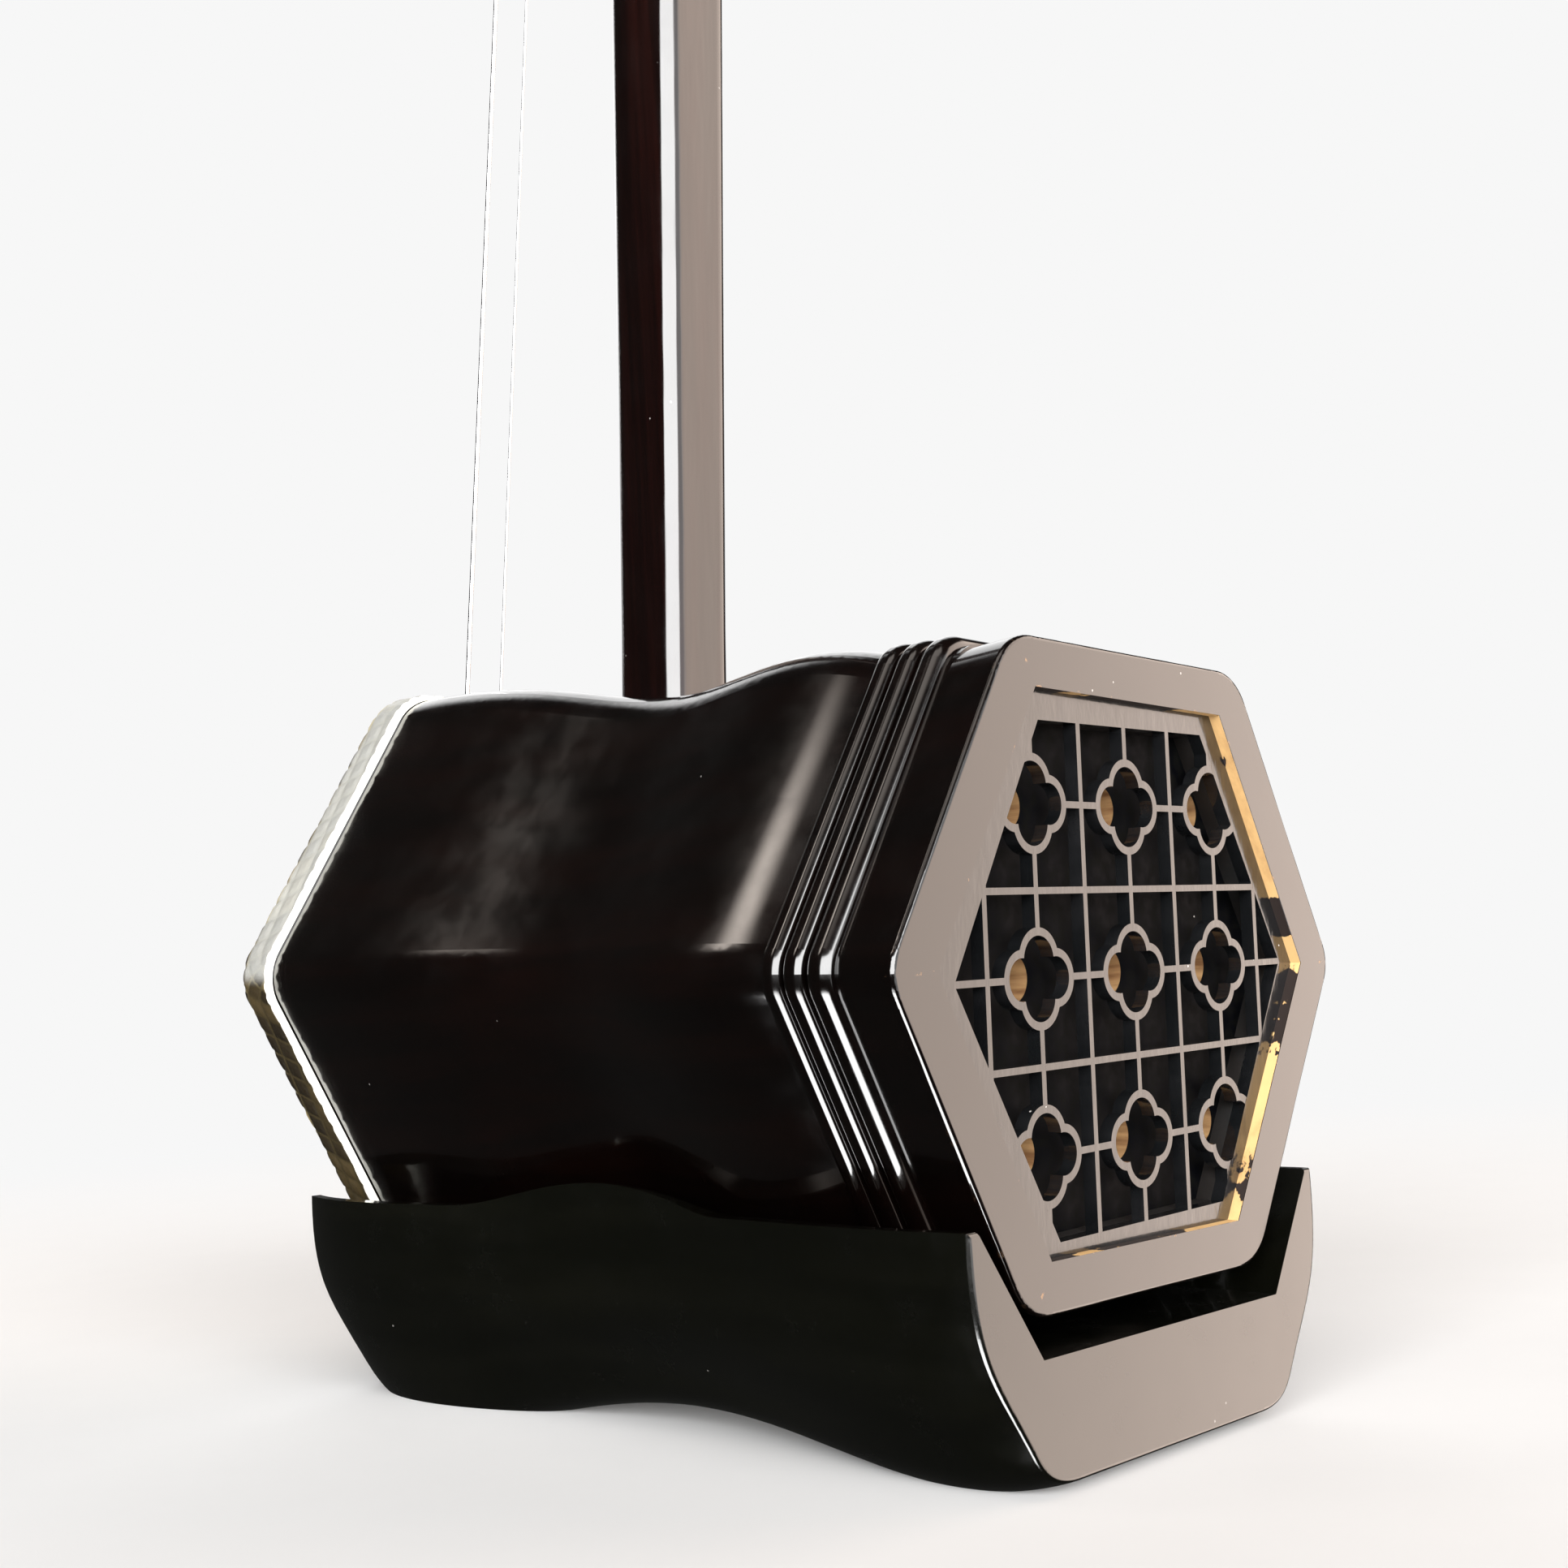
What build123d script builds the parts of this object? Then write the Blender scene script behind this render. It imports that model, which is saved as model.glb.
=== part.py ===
"""Erhu: a two-stringed spike fiddle with a six-sided sound box on a cradle base.

Millimetres. The base stands level on Z = 0 with the player's side at +Y and the skin at -Y.
The box, the neck and everything on them are drawn upright and then leaned back together,
because the box tapers and its underside lies level on the base.
"""
from build123d import *
from math import cos, radians, sin
import os

# ---------------------------------------------------------------- driving dimensions
lean = 2.8                      # the box and the neck lean back on the level base, degrees
axis_height = 64.5              # the box's axis over the underside, at the neck

# sound box: positions along Y, rear face positive
rim_rear = 87.9                 # rear face of the rim
rim_front = 79.9                # where the rim meets its groove
moulding_front = 67.2           # where the carved beads end and the waisted body begins
body_front = -33.6              # where the lacquered body ends and the skin band begins
wood_front = -41.5              # front end of the staves, under the skin
skin_front = -42.3              # outer face of the skin

# the hexagon is a little flatter than regular: distances to its faces as shares of its radius
top_share = 0.853
side_share = 0.883
body_outline = [                # (Y, corner radius of the hexagon)
    (67.2, 47.4), (51.8, 49.7), (27.0, 46.9), (-3.0, 51.4), (-20.0, 53.1), (-33.6, 53.2),
]
body_corner = 7.5               # rounding of the body's long edges
bead_radius_of_hexagon = 48.8
bead_corner = 6.0
narrow_bead_width = 3.1
wide_bead_width = 3.9
bead_core = 47.2                # hexagon radius at the bottom of the grooves
rim_top = 39.9                  # axis to the rim's top face and to its slanted faces, at the groove
rim_side = 42.2
rim_flare = 0.6                 # how much further out the faces stand at the rear
rim_corner = 8.0
rim_tip_corner = 5.5
edge_round = 0.6                # softened outer edges of the rim and of the base's ends
bore_rear_radius = 40.0         # the hollow inside the staves
bore_front_radius = 44.0
skin_outer_radius = 54.5
skin_inner_radius = 53.4
skin_corner = 8.0
skin_edge_round = 2.2
skin_line = 0.8                 # bare strip between the lacquer and the skin's cut edge

# sound window
window_pitch = 10.2             # spacing of the lattice bars across
window_row_pitch = 10.6         # spacing of the lattice bars up
window_face = 86.2              # rear face of the lattice, recessed in the rim
window_turn = 1.4               # the lattice sits slightly turned in the rim, degrees
window_shift = (-0.8, -0.6)     # and slightly off its centre, X and Z
lattice_inner = (31.5, 31.8)    # centre to the inside of the border, at its top and slanted sides
lattice_thickness = 1.9
bar_width = 0.85
petal_line = 1.0
backing_face = 82.0
backing_thickness = 4.5
sound_hole_diameter = 6.1

# neck
neck_width = 13.5
neck_depth = 15.5
neck_y = -0.8
neck_front_corner = 5.2
neck_rear_corner = 3.0
neck_foot = 8.0
neck_swell = 1.08               # the neck is this much thicker above the swell
neck_swell_start = 120.0
neck_swell_end = 230.0
neck_top = 730.0
head_top = 786.0
head_width = 16.4

# pegs
peg_heights = {"lower": 622.0, "upper": 700.0}
peg_tips = {"lower": -21.0, "upper": -31.5}
peg_windings = {"lower": (-11.2, -17.6), "upper": (-20.6, -27.6)}
peg_shaft_radius = 4.4
peg_bore_clearance = 0.05
peg_string_end_radius = 3.6
peg_handle_start = 34.0
peg_handle_end = 88.0
peg_handle_radius = 10.0
peg_flutes = 10
peg_button_radius = 5.6
peg_button_length = 5.6

# strings and what they run over
string_radii = {"inner": 0.40, "outer": 0.25}
string_sides = {"inner": 1, "outer": -1}
bridge_height = 12.6
bridge_z = axis_height + 2.0
bridge_half_spacing = 3.8
nut_z = 495.0                   # height of the thread loop that stops the strings
nut_string_y = -27.0
nut_half_spacing = 3.0
nut_thickness = 1.1
nut_slack = 0.65                # keeps the loop clear of the slanting strings as it slides
nut_front_half = 5.8            # half width of the loop round the strings
nut_neck_gap = 1.5
nut_length = 7.0

# base, drawn level
base_rear = 91.0
base_front = -44.6
base_top = 31.4
base_hump = 35.0
cradle_floor = 15.8
cradle_wall_run = 0.684         # how far the cradle's walls lean out for each millimetre up
base_stations = [               # (Y, half width, lift of the underside, half width of the floor)
    (91.0, 38.4, 1.6, 26.0), (66.0, 39.0, -0.3, 26.0), (30.0, 37.0, 3.2, 23.2),
    (0.0, 39.8, -0.3, 26.2), (-44.6, 38.6, 0.3, 26.0),
]
base_side = [                   # (share of the half width, height) down the side of the base
    (1.0, 31.4), (0.945, 17.0), (0.775, 5.4), (0.54, 0.0),
]
pad_half_length = 18.0
pad_half_width = 19.0
pad_top = 17.8
hook_y = -35.0
hook_half_spacing = 3.2
hook_plate = 1.0
prong_radius = 0.8
prong_height = 3.3
hook_screw_radius = 1.2
hook_screw_length = 8.0

os.makedirs("parts", exist_ok=True)
LEAN_BACK = Location((0, 0, 0), (-lean, 0, 0))


# ---------------------------------------------------------------- shared helpers
def write(piece, label, leaned=True):
    """Label a finished piece and write it, leaned back with the box unless it is level."""
    placed = piece.part.moved(LEAN_BACK) if leaned else piece.part
    placed.label = label
    export_step(placed, f"parts/{label}.step")


def upright_point(x, y, z):
    """Where a point of the level base lies in the upright drawing of the box."""
    tilt = radians(lean)
    return (x, y * cos(tilt) - z * sin(tilt), y * sin(tilt) + z * cos(tilt))


def across(y):
    """Sketch plane across the box at Y, seen along its axis; extrusions run to the front."""
    return Plane(origin=(0, y, axis_height), x_dir=(1, 0, 0), z_dir=(0, -1, 0))


def hexagon_corners(top, side):
    """Corners of a hexagon from the distances to its top and slanted faces, +X tip first."""
    corner_x = (side - top * sin(radians(30))) / cos(radians(30))
    tip_x = side / cos(radians(30))
    return [(tip_x, 0), (corner_x, top), (-corner_x, top),
            (-tip_x, 0), (-corner_x, -top), (corner_x, -top)]


def body_hexagon(radius):
    """Corners of the body's flattened hexagon at the given radius."""
    return hexagon_corners(top_share * radius, side_share * radius)


def hexagon_block(y_rear, y_front, radius, corner, rounding=0.0):
    """Straight hexagonal block with rounded long edges and, if asked, rounded ends."""
    with BuildPart() as block:
        with BuildSketch(across(y_rear)) as outline:
            Polygon(*body_hexagon(radius), align=None)
            if corner:
                fillet(outline.vertices(), corner)
        extrude(amount=y_rear - y_front)
        if rounding:
            ends = block.faces().sort_by(Axis.Y)
            fillet(ends[0].edges() + ends[-1].edges(), rounding)
    return block.part


def rim_outline(y, spread):
    """Outline of the rim at Y, its faces moved out by the given spread."""
    with BuildSketch(across(y)) as outline:
        Polygon(*hexagon_corners(rim_top + spread, rim_side + spread), align=None)
        fillet(outline.vertices().filter_by(lambda corner: abs(corner.Y) > 10), rim_corner)
        fillet(outline.vertices().filter_by(lambda corner: abs(corner.Y) < 1), rim_tip_corner)
    return outline.sketch


# ---------------------------------------------------------------- sound box
def wavy_slab(normal_angle, share):
    """Slab between two opposite faces of the waisted body, wavy along the box."""
    across_face = (cos(radians(normal_angle)), sin(radians(normal_angle)))
    face_plane = Plane(origin=(0, 0, axis_height), x_dir=(0, 1, 0),
                       z_dir=(across_face[1], 0, -across_face[0]))
    near = [(y, share * radius) for y, radius in body_outline]
    far = [(y, -share * radius) for y, radius in body_outline]
    with BuildPart() as slab:
        with BuildSketch(face_plane):
            with BuildLine():
                Spline(*near)
                Line(near[-1], far[-1])
                Spline(*far)
                Line(near[0], far[0])
            make_face()
        extrude(amount=75, both=True)
    return slab.part


with BuildPart() as waisted_body:
    add(wavy_slab(90, top_share))
    add(wavy_slab(30, side_share), mode=Mode.INTERSECT)
    add(wavy_slab(-30, side_share), mode=Mode.INTERSECT)
    long_edges = [edge for edge in waisted_body.edges() if edge.bounding_box().size.Y > 60]
    fillet(long_edges, body_corner)

narrow_bead_starts = [70.4, 74.0]
wide_bead_start = 78.3
with BuildPart() as rim:
    add(rim_outline(rim_rear, rim_flare))
    add(rim_outline(rim_front, 0))
    loft(ruled=True)
    fillet(rim.faces().sort_by(Axis.Y)[-1].edges(), edge_round)

with BuildPart() as box_outside:
    add(waisted_body.part)
    add(hexagon_block(body_front, wood_front, skin_inner_radius, skin_corner))
    add(hexagon_block(rim_front, moulding_front, bead_core, bead_corner))
    for start in narrow_bead_starts:
        add(hexagon_block(start, start - narrow_bead_width, bead_radius_of_hexagon, bead_corner, 1.2))
    add(hexagon_block(wide_bead_start, wide_bead_start - wide_bead_width,
                      bead_radius_of_hexagon, bead_corner, 1.7))
    add(rim.part)

with BuildPart() as bore:
    for y, radius in ((rim_rear + 1, bore_rear_radius), (wood_front - 1, bore_front_radius)):
        with BuildSketch(across(y)):
            Polygon(*body_hexagon(radius), align=None)
    loft(ruled=True)


def neck_section(z, size=1.0):
    """Rounded cross-section of the neck at Z."""
    with BuildSketch(Plane.XY.offset(z)) as section:
        with Locations((0, neck_y)):
            Rectangle(size * neck_width, size * neck_depth)
        fillet(section.vertices().group_by(Axis.Y)[0], neck_front_corner)
        fillet(section.vertices().group_by(Axis.Y)[-1], neck_rear_corner)
    return section.sketch


def neck_block(bottom, top, size=1.0):
    """Straight length of the neck."""
    with BuildPart() as block:
        add(neck_section(bottom, size))
        extrude(amount=top - bottom)
    return block.part


stave_edges = {                 # the two mitre directions of each stave, degrees about the axis
    "stave_upper_left": (0, 58.4), "stave_top": (58.4, 121.6), "stave_upper_right": (121.6, 180),
    "stave_lower_right": (180, 238.4), "stave_bottom": (238.4, 301.6),
    "stave_lower_left": (301.6, 360),
}
for stave_name, mitres in stave_edges.items():
    reach = [(120 * cos(radians(angle)), 120 * sin(radians(angle))) for angle in mitres]
    with BuildPart() as stave:
        add(box_outside.part)
        add(bore.part, mode=Mode.SUBTRACT)
        with BuildSketch(across(rim_rear + 1)):
            Polygon((0, 0), *reach, align=None)
        extrude(amount=rim_rear - wood_front + 2, mode=Mode.INTERSECT)
        if stave_name in ("stave_top", "stave_bottom"):
            add(neck_block(0, 200), mode=Mode.SUBTRACT)
    write(stave, stave_name)

# ---------------------------------------------------------------- skin
with BuildPart() as python_skin:
    add(hexagon_block(body_front - skin_line, skin_front, skin_outer_radius, skin_corner + 0.8))
    fillet(python_skin.faces().sort_by(Axis.Y)[0].edges(), skin_edge_round)
    add(hexagon_block(body_front, wood_front, skin_inner_radius, skin_corner), mode=Mode.SUBTRACT)
write(python_skin, "python_skin")

# ---------------------------------------------------------------- sound window
def window_plane(y):
    """Plane of the turned and shifted lattice at Y; extrusions run to the front."""
    turn = radians(window_turn)
    return Plane(origin=(window_shift[0], y, axis_height + window_shift[1]),
                 x_dir=(cos(turn), 0, -sin(turn)), z_dir=(0, -1, 0))


def four_lobes(line):
    """Quatrefoil outline drawn inwards by the given line width."""
    with BuildSketch() as lobes:
        with Locations((0, 2.2), (0, -2.2)):
            Circle(4.0 - line)
        with Locations((3.4, 0), (-3.4, 0)):
            Circle(3.6 - line)
        Rectangle(4, 4)
    return lobes.sketch


with BuildPart() as window_lattice:
    with BuildSketch(window_plane(window_face)) as pattern:
        with Locations(*[(n * window_pitch, 0) for n in (-3, -2, -1, 0, 1, 2, 3)]):
            Rectangle(bar_width, 80)
        with Locations((0, window_row_pitch), (0, 0), (0, -window_row_pitch)):
            Rectangle(90, bar_width)
        with Locations((0, 2 * window_row_pitch), (0, -2 * window_row_pitch)):
            Rectangle(4 * window_pitch, bar_width)
        with GridLocations(2 * window_pitch, 2 * window_row_pitch, 3, 3):
            add(four_lobes(0))
        with GridLocations(2 * window_pitch, 2 * window_row_pitch, 3, 3):
            add(four_lobes(petal_line), mode=Mode.SUBTRACT)
        with BuildSketch(mode=Mode.PRIVATE) as border:
            Rectangle(100, 90)
            Polygon(*hexagon_corners(*lattice_inner), align=None, mode=Mode.SUBTRACT)
        add(border.sketch)
    extrude(amount=lattice_thickness)
    add(bore.part, mode=Mode.INTERSECT)
write(window_lattice, "window_lattice")

with BuildPart() as window_backing:
    add(bore.part)
    with BuildSketch(across(backing_face)):
        Rectangle(120, 120)
    extrude(amount=backing_thickness, mode=Mode.INTERSECT)
    with BuildSketch(window_plane(backing_face)):
        with GridLocations(2 * window_pitch, 2 * window_row_pitch, 3, 3):
            Circle(sound_hole_diameter / 2)
    extrude(amount=backing_thickness, mode=Mode.SUBTRACT)
write(window_backing, "window_backing")

with BuildPart() as window_liner:
    add(bore.part)
    with BuildSketch(across(window_face - lattice_thickness)):
        Rectangle(120, 120)
    extrude(amount=window_face - lattice_thickness - backing_face, mode=Mode.INTERSECT)
    with BuildSketch(window_plane(window_face)):
        Polygon(*hexagon_corners(*lattice_inner), align=None)
    extrude(amount=window_face - backing_face, mode=Mode.SUBTRACT)
write(window_liner, "window_liner")

# ---------------------------------------------------------------- neck and head
upper_width = neck_swell * neck_width
upper_depth = neck_swell * neck_depth
head_front = neck_y - upper_depth / 2 - 0.8
head_rear = neck_y + upper_depth / 2 + 0.8
head_root = neck_top - 6        # where the thicker head starts
outer_bend = 33.0               # radius of the head's backward curve over its front
tip_length = 9.0                # straight run at the head's tip
tip_depth = 8.0
inner_bend = head_front + outer_bend + 3 - head_rear
with BuildPart() as head:
    with BuildSketch(Plane.YZ):
        with BuildLine():
            face = Line((head_front, head_root), (head_front, head_top - outer_bend))
            over = TangentArc(face @ 1, (head_front + outer_bend, head_top), tangent=face % 1)
            crest = Line(over @ 1, (head_front + outer_bend + tip_length, head_top))
            tip = TangentArc(crest @ 1, crest @ 1 - (0, tip_depth), tangent=crest % 1)
            under = Line(tip @ 1, (head_rear + inner_bend, head_top - tip_depth))
            back = TangentArc(under @ 1, (head_rear, head_top - tip_depth - inner_bend), tangent=under % 1)
            Line(back @ 1, (head_rear, head_root))
            Line((head_rear, head_root), face @ 0)
        make_face()
    extrude(amount=head_width / 2, both=True)
    fillet(head.faces().filter_by(Axis.X).edges(), 3.0)

with BuildPart() as neck:
    add(neck_section(neck_swell_start))
    add(neck_section(neck_swell_end, neck_swell))
    loft(ruled=True)
    add(neck_block(neck_foot, neck_swell_start))
    add(neck_block(neck_swell_end, neck_top, neck_swell))
    add(head.part)
    for height in peg_heights.values():
        with Locations(Plane(origin=(0, 0, height), z_dir=(0, 1, 0))):
            Cylinder(peg_shaft_radius + peg_bore_clearance, 60, mode=Mode.SUBTRACT)
    with Locations(Plane(origin=(0, neck_y, neck_foot), z_dir=(0, 0, 1))):
        Cylinder(2.5, 2 * 22, mode=Mode.SUBTRACT)
write(neck, "neck")

with BuildPart() as head_inlay:
    with BuildSketch(Plane(origin=(0, head_front, head_root + 16), z_dir=(0, -1, 0))):
        Circle(3.4)
    extrude(amount=0.9)
    fillet(head_inlay.faces().sort_by(Axis.Y)[0].edges(), 0.7)
write(head_inlay, "head_inlay")

# ---------------------------------------------------------------- pegs
for which, height in peg_heights.items():
    tip = peg_tips[which]
    wound_rear, wound_front = peg_windings[which]
    shoulder = wound_rear + 1.2
    profile_plane = Plane(origin=(0, 0, height), x_dir=(0, 1, 0), z_dir=(1, 0, 0))
    peg_axis = Axis((0, 0, height), (0, 1, 0))
    with BuildPart() as peg:
        with BuildSketch(profile_plane):
            with BuildLine():
                Line((tip, 0), (tip, peg_string_end_radius - 0.8))
                Line((tip, peg_string_end_radius - 0.8), (tip + 0.8, peg_string_end_radius))
                Line((tip + 0.8, peg_string_end_radius), (shoulder, peg_string_end_radius))
                Line((shoulder, peg_string_end_radius), (shoulder, peg_shaft_radius))
                Line((shoulder, peg_shaft_radius), (12, peg_shaft_radius))
                Line((12, peg_shaft_radius), (peg_handle_start - 4, 5.4))
                ThreePointArc((peg_handle_start - 4, 5.4), (peg_handle_start - 2, 7.0),
                              (peg_handle_start, 6.2))
                ThreePointArc((peg_handle_start, 6.2), (peg_handle_end - 18, peg_handle_radius),
                              (peg_handle_end, 7.2))
                Line((peg_handle_end, 7.2), (peg_handle_end, 0))
                Line((peg_handle_end, 0), (tip, 0))
            make_face()
        revolve(axis=peg_axis)
        with Locations(Plane(origin=(0, (peg_handle_start + peg_handle_end) / 2 + 1, height),
                             z_dir=(0, 1, 0))):
            with PolarLocations(peg_handle_radius + 1.0, peg_flutes):
                Cylinder(2.2, peg_handle_end - peg_handle_start + 8, mode=Mode.SUBTRACT)
    write(peg, f"peg_{which}")

    with BuildPart() as peg_button:
        with BuildSketch(Plane(origin=(0, peg_handle_end, height), z_dir=(0, 1, 0))):
            Circle(peg_button_radius)
        extrude(amount=peg_button_length)
        fillet(peg_button.faces().sort_by(Axis.Y)[-1].edges(), peg_button_length - 1.2)
    write(peg_button, f"peg_button_{which}")

    strand = string_radii["inner" if which == "upper" else "outer"]
    turns = 7
    pitch = (wound_rear - wound_front) / turns
    with BuildPart() as winding:
        with BuildSketch(profile_plane):
            with BuildLine():
                for n in range(turns):
                    y = wound_front + n * pitch
                    ThreePointArc((y, peg_string_end_radius + strand),
                                  (y + pitch / 2, peg_string_end_radius + 2 * strand),
                                  (y + pitch, peg_string_end_radius + strand))
                Line((wound_rear, peg_string_end_radius + strand), (wound_rear, peg_string_end_radius))
                Line((wound_rear, peg_string_end_radius), (wound_front, peg_string_end_radius))
                Line((wound_front, peg_string_end_radius), (wound_front, peg_string_end_radius + strand))
            make_face()
        revolve(axis=peg_axis)
    write(winding, f"string_winding_{which}")

# ---------------------------------------------------------------- strings
bridge_top_y = skin_front - bridge_height
loop_height = cradle_floor + hook_plate + 1.4      # where the strings' end loops hold the prongs
strings = {}
for name, side in string_sides.items():
    radius = string_radii[name]
    ring_radius = prong_radius + radius + 0.15
    which = "upper" if name == "inner" else "lower"
    wound_rear, wound_front = peg_windings[which]
    leave_x = peg_string_end_radius + 3 * radius + 0.35
    route = [
        upright_point(side * hook_half_spacing, hook_y - ring_radius, loop_height),
        upright_point(side * hook_half_spacing, -42.3, loop_height + 1.4),
        (side * bridge_half_spacing, bridge_top_y - radius, bridge_z),
        (side * nut_half_spacing, nut_string_y, nut_z),
        (side * leave_x, (wound_rear + wound_front) / 2, peg_heights[which]),
    ]
    with BuildPart() as string:
        with BuildLine() as path:
            FilletPolyline(*route, radius=[2.0, 4.0, 6.0])
        with BuildSketch(Plane(origin=path.line @ 0, z_dir=path.line % 0)):
            Circle(radius)
        sweep()
        with Locations(upright_point(side * hook_half_spacing, hook_y, loop_height)):
            with Locations(Location((0, 0, 0), (lean, 0, 0))):
                Torus(ring_radius, radius)
    strings[name] = string.part
    write(string, f"string_{name}")

with BuildPart() as nut_loop:
    loop_front = nut_string_y - string_radii["inner"] - nut_slack - nut_thickness
    loop_back = neck_y + upper_depth / 2 + nut_neck_gap
    loop_half = upper_width / 2 + nut_neck_gap
    with BuildSketch(Plane.XY.offset(nut_z - nut_length / 2)) as loop_outline:
        with BuildLine():
            Polyline((-nut_front_half, loop_front), (nut_front_half, loop_front), (loop_half, neck_y),
                     (loop_half, loop_back), (-loop_half, loop_back), (-loop_half, neck_y), close=True)
        make_face()
        fillet(loop_outline.vertices().group_by(Axis.Y)[-1], 4.0)
        fillet(loop_outline.vertices().group_by(Axis.Y)[0], 1.4)
        offset(amount=-nut_thickness, kind=Kind.INTERSECTION, mode=Mode.SUBTRACT)
    extrude(amount=nut_length)
write(nut_loop, "nut_loop")

# ---------------------------------------------------------------- bridge and damper
with BuildPart() as bridge:
    with BuildSketch(Plane.XY.offset(bridge_z - 3)) as bridge_face:
        with BuildLine():
            Line((-13, skin_front), (-5.0, skin_front))
            ThreePointArc((-5.0, skin_front), (0, skin_front - 4.2), (5.0, skin_front))
            Line((5.0, skin_front), (13, skin_front))
            Line((13, skin_front), (12.4, skin_front - 2.6))
            ThreePointArc((12.4, skin_front - 2.6), (8.0, skin_front - 6.6), (6.8, bridge_top_y))
            Line((6.8, bridge_top_y), (-6.8, bridge_top_y))
            ThreePointArc((-6.8, bridge_top_y), (-8.0, skin_front - 6.6), (-12.4, skin_front - 2.6))
            Line((-12.4, skin_front - 2.6), (-13, skin_front))
        make_face()
    extrude(amount=6)
    chamfer(bridge.faces().sort_by(Axis.Y)[0].edges().filter_by(Axis.X), 1.6)
    for string_solid in strings.values():
        add(string_solid, mode=Mode.SUBTRACT)
write(bridge, "bridge")

with BuildPart() as damper_pad:
    with BuildSketch(Plane.YZ.offset(-9)):
        with Locations((skin_front - 3.0, axis_height - 20)):
            Ellipse(2.95, 4.0)
    extrude(amount=18)
    fillet(damper_pad.edges().filter_by(GeomType.ELLIPSE), 1.0)
write(damper_pad, "damper_pad")


# ---------------------------------------------------------------- base
def base_section(y, half_width, lift):
    """Cross-section of the base at Y: upright sides that curl in to a flat underside."""
    with BuildSketch(Plane(origin=(0, y, 0), x_dir=(1, 0, 0), z_dir=(0, -1, 0))) as section:
        with BuildLine():
            upper, lower = base_side[:2], base_side[2:]
            side = [(share * half_width, z) for share, z in upper]
            side += [(share * half_width, z + lift) for share, z in lower]
            mirrored = [(-x, z) for x, z in side]
            Line((-half_width, 42), (half_width, 42))
            Line((half_width, 42), side[0])
            Spline(*side, tangents=[(0, -1), (-1, 0)])
            Line(side[-1], mirrored[-1])
            Spline(*mirrored, tangents=[(0, -1), (1, 0)])
            Line(mirrored[0], (-half_width, 42))
        make_face()
    return section.sketch


def cradle_section(y, floor_half_width):
    """Cross-section of the cradle's hollow at Y."""
    wide = floor_half_width + cradle_wall_run * (60 - cradle_floor)
    with BuildSketch(Plane(origin=(0, y, 0), x_dir=(1, 0, 0), z_dir=(0, -1, 0))) as section:
        Polygon((-floor_half_width, cradle_floor), (floor_half_width, cradle_floor),
                (wide, 60), (-wide, 60), align=None)
    return section.sketch


with BuildPart() as cradle_hollow:
    for y, half_width, lift, floor_half_width in base_stations:
        end_room = 1.0 * ((y > 80) - (y < -40))
        add(cradle_section(y + end_room, floor_half_width))
    loft()

hump = [(50, base_top), (41.5, 32.9), (28, base_hump), (14, 34.1), (-5, base_top)]
with BuildPart() as base:
    for y, half_width, lift, floor_half_width in base_stations:
        add(base_section(y, half_width, lift))
    loft()
    with BuildSketch(Plane.YZ):
        with BuildLine():
            Line((base_front - 2, 0), (base_rear + 2, 0))
            Line((base_rear + 2, 0), (base_rear + 2, base_top))
            Line((base_rear + 2, base_top), hump[0])
            Spline(*hump, tangents=[(-1, 0), (-1, 0)])
            Line(hump[-1], (base_front - 2, base_top))
            Line((base_front - 2, base_top), (base_front - 2, 0))
        make_face()
    extrude(amount=60, both=True, mode=Mode.INTERSECT)
    along_base = base.faces().sort_by(Axis.Y)
    fillet(along_base[0].edges() + along_base[-1].edges(), edge_round)
    add(cradle_hollow.part, mode=Mode.SUBTRACT)
    with Locations((0, 0, 12)):
        Box(2 * pad_half_width, 2 * pad_half_length, pad_top - 12,
            align=(Align.CENTER, Align.CENTER, Align.MIN))
    add(neck_block(neck_foot, 60).moved(LEAN_BACK), mode=Mode.SUBTRACT)
    with Locations(LEAN_BACK):
        with Locations((0, neck_y, 0)):
            Cylinder(6.2, 2 * 5.6, mode=Mode.SUBTRACT)
            Cylinder(3.0, 2 * 12, mode=Mode.SUBTRACT)
    with Locations((0, hook_y + 3, cradle_floor)):
        Cylinder(hook_screw_radius, 2 * hook_screw_length, mode=Mode.SUBTRACT)
write(base, "base", leaned=False)

with BuildPart() as cradle_felt:
    with Locations((0, 0, pad_top)):
        Box(2 * pad_half_width, 2 * pad_half_length, 8, align=(Align.CENTER, Align.CENTER, Align.MIN))
    add(box_outside.part.moved(LEAN_BACK), mode=Mode.SUBTRACT)
    add(neck_block(neck_foot, 60).moved(LEAN_BACK), mode=Mode.SUBTRACT)
write(cradle_felt, "cradle_felt", leaned=False)

# ---------------------------------------------------------------- base bolt and tail hook
with BuildPart() as base_bolt:
    with Locations((0, neck_y, 1.2)):
        Cylinder(4.6, 3.2, align=(Align.CENTER, Align.CENTER, Align.MIN))
        Cylinder(2.5, 27, align=(Align.CENTER, Align.CENTER, Align.MIN))
    with Locations((0, neck_y, 1.2)):
        Box(1.2, 7.6, 2.4, mode=Mode.SUBTRACT)
write(base_bolt, "base_bolt")

with BuildPart() as base_washer:
    with Locations((0, neck_y, 4.4)):
        Cylinder(5.6, 1.2, align=(Align.CENTER, Align.CENTER, Align.MIN))
        Cylinder(2.5, 5, mode=Mode.SUBTRACT)
write(base_washer, "base_washer")

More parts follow.
